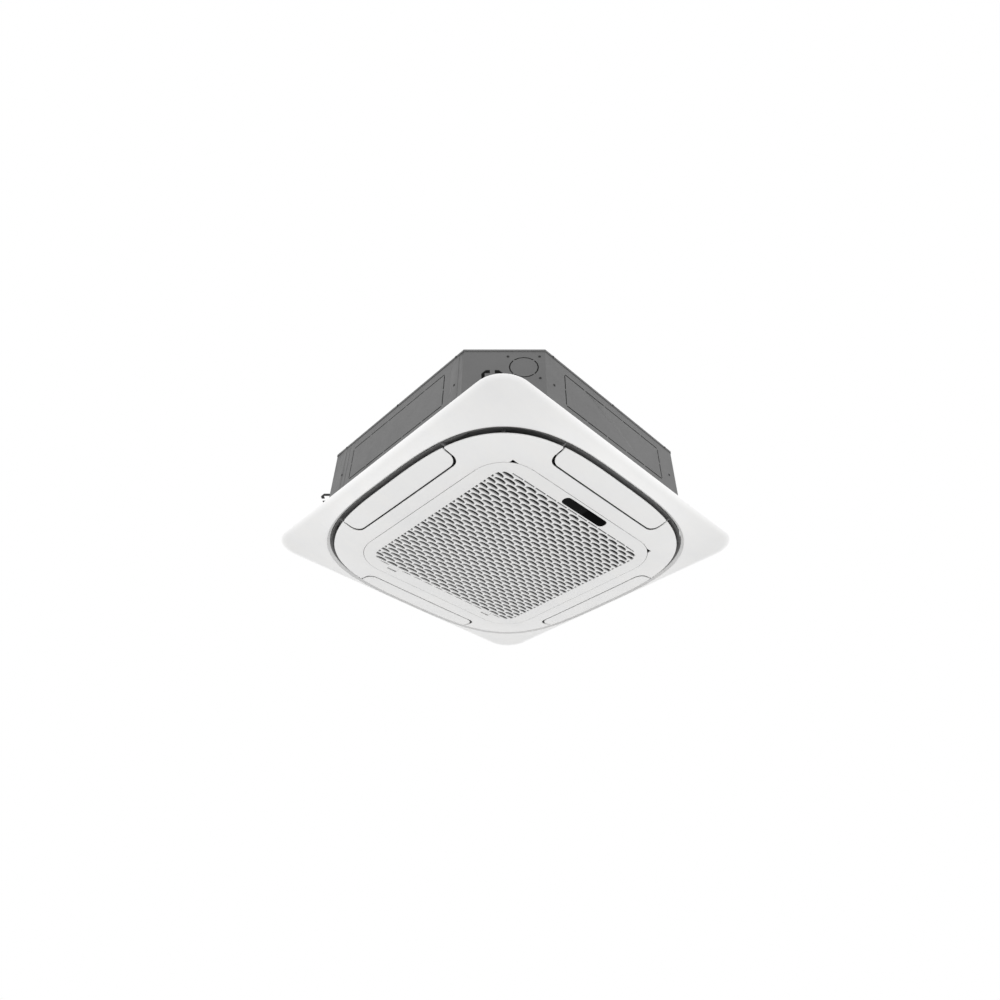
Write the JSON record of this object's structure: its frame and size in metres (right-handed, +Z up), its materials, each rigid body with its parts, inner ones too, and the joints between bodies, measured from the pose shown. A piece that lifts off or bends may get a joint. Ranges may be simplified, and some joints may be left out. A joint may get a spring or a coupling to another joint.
{
  "type": "ceiling cassette air conditioner",
  "caption": "Four-way ceiling cassette air conditioner: a grey sheet-steel body above the ceiling and a white square panel with an intake grille, louvers and a display.",
  "frame": {"origin": "the centre of the ceiling plane, on the flange's upper face, where the unit's axis meets it", "axes": "+Z up, along the fan's shaft; X and Y along the panel's edges, with the grille's display on the +X side and the pipes at the -X +Y corner"},
  "size_m": [0.95, 0.95, 0.3035],
  "materials": {
    "grey_sheet_steel": "satin grey coated sheet steel",
    "black_steel": "satin black painted steel",
    "bare_steel": "zinc-plated steel",
    "white_panel_plastic": "fine satin moulded white",
    "white_fan_plastic": "moulded",
    "grey_plastic": "moulded",
    "dark_plastic": "moulded",
    "display_gloss": "polished",
    "white_foam": "expanded polystyrene beads",
    "black_foam": "closed-cell foam",
    "aluminium_fins": "fine fins",
    "copper_tube": "drawn copper",
    "brass_nut": "turned",
    "grommet_rubber": "matt",
    "board_green": "lacquered circuit board"
  },
  "bodies": {
    "unit_body": {"gas_pipe": "copper_tube", "liquid_pipe": "copper_tube", "gas_flare_nut": "brass_nut", "liquid_flare_nut": "brass_nut", "drain_pump": "grey_plastic", "drain_outlet": "grey_plastic", "float_switch": "grey_plastic", "pipe_cover": "grey_sheet_steel", "casing_front": "grey_sheet_steel", "casing_back": "grey_sheet_steel", "casing_right": "grey_sheet_steel", "casing_left": "grey_sheet_steel", "casing_lid": "grey_sheet_steel", "insulation_liner": "white_foam", "hanger_bracket_1": "black_steel", "hanger_bracket_2": "black_steel", "hanger_bracket_3": "black_steel", "hanger_bracket_4": "black_steel", "drain_pan": "white_foam", "heat_exchanger": "aluminium_fins", "coil_end_plate_x": "bare_steel", "coil_end_plate_y": "bare_steel", "bell_mouth": "dark_plastic", "fan_motor": "bare_steel", "motor_grommet_1": "grommet_rubber", "motor_grommet_2": "grommet_rubber", "motor_grommet_3": "grommet_rubber", "panel_flange": "white_panel_plastic", "deck_panel": "white_panel_plastic", "louver_motor_1": "grey_plastic", "louver_motor_2": "grey_plastic", "louver_motor_3": "grey_plastic", "louver_motor_4": "grey_plastic", "duct_frame": "dark_plastic", "outlet_seal": "black_foam", "panel_screw_1": "bare_steel", "panel_screw_2": "bare_steel", "panel_screw_3": "bare_steel", "panel_screw_4": "bare_steel", "control_box": "bare_steel", "control_box_cover": "bare_steel", "control_board": "board_green", "terminal_block": "dark_plastic"},
    "fan": {"fan_rotor": "white_fan_plastic", "fan_shaft": "bare_steel", "fan_nut": "bare_steel"},
    "louver_body_1": {"louver_1": "white_panel_plastic"},
    "louver_body_2": {"louver_2": "white_panel_plastic"},
    "louver_body_3": {"louver_3": "white_panel_plastic"},
    "louver_body_4": {"louver_4": "white_panel_plastic"},
    "grille_door": {"intake_grille": "white_panel_plastic", "display_window": "display_gloss", "display_housing": "dark_plastic", "hinge_pin_1": "bare_steel", "hinge_pin_2": "bare_steel", "filter": "grey_plastic"},
    "latch_body_1": {"latch_1": "grey_plastic"},
    "latch_body_2": {"latch_2": "grey_plastic"},
    "float_body": {"float": "white_foam"}
  },
  "joints": [
    {"name": "fan_spin", "type": "hinge", "parent": "unit_body", "child": "fan", "pos_m": [0, 0, 0.16], "axis": [0, 0, 1], "continuous": true},
    {"name": "louver_swing_1", "type": "hinge", "parent": "unit_body", "child": "louver_body_1", "pos_m": [0.374, 0, -0.02], "axis": [0, 1, 0], "range_deg": [0, 45]},
    {"name": "louver_swing_2", "type": "hinge", "parent": "unit_body", "child": "louver_body_2", "pos_m": [0, 0.374, -0.02], "axis": [-1, 0, 0], "range_deg": [0, 45]},
    {"name": "louver_swing_3", "type": "hinge", "parent": "unit_body", "child": "louver_body_3", "pos_m": [-0.374, 0, -0.02], "axis": [0, -1, 0], "range_deg": [0, 45]},
    {"name": "louver_swing_4", "type": "hinge", "parent": "unit_body", "child": "louver_body_4", "pos_m": [0, -0.374, -0.02], "axis": [1, 0, 0], "range_deg": [0, 45]},
    {"name": "grille_hinge", "type": "hinge", "parent": "unit_body", "child": "grille_door", "pos_m": [0.297, 0, -0.039], "axis": [0, -1, 0], "range_deg": [0, 90]},
    {"name": "latch_slide_1", "type": "slide", "parent": "grille_door", "child": "latch_body_1", "axis": [1, 0, 0], "range_m": [-0.007, 0]},
    {"name": "latch_slide_2", "type": "slide", "parent": "grille_door", "child": "latch_body_2", "axis": [1, 0, 0], "range_m": [-0.007, 0]},
    {"name": "float_rise", "type": "slide", "parent": "unit_body", "child": "float_body", "axis": [0, 0, 1], "range_m": [0, 0.012]}
  ]
}
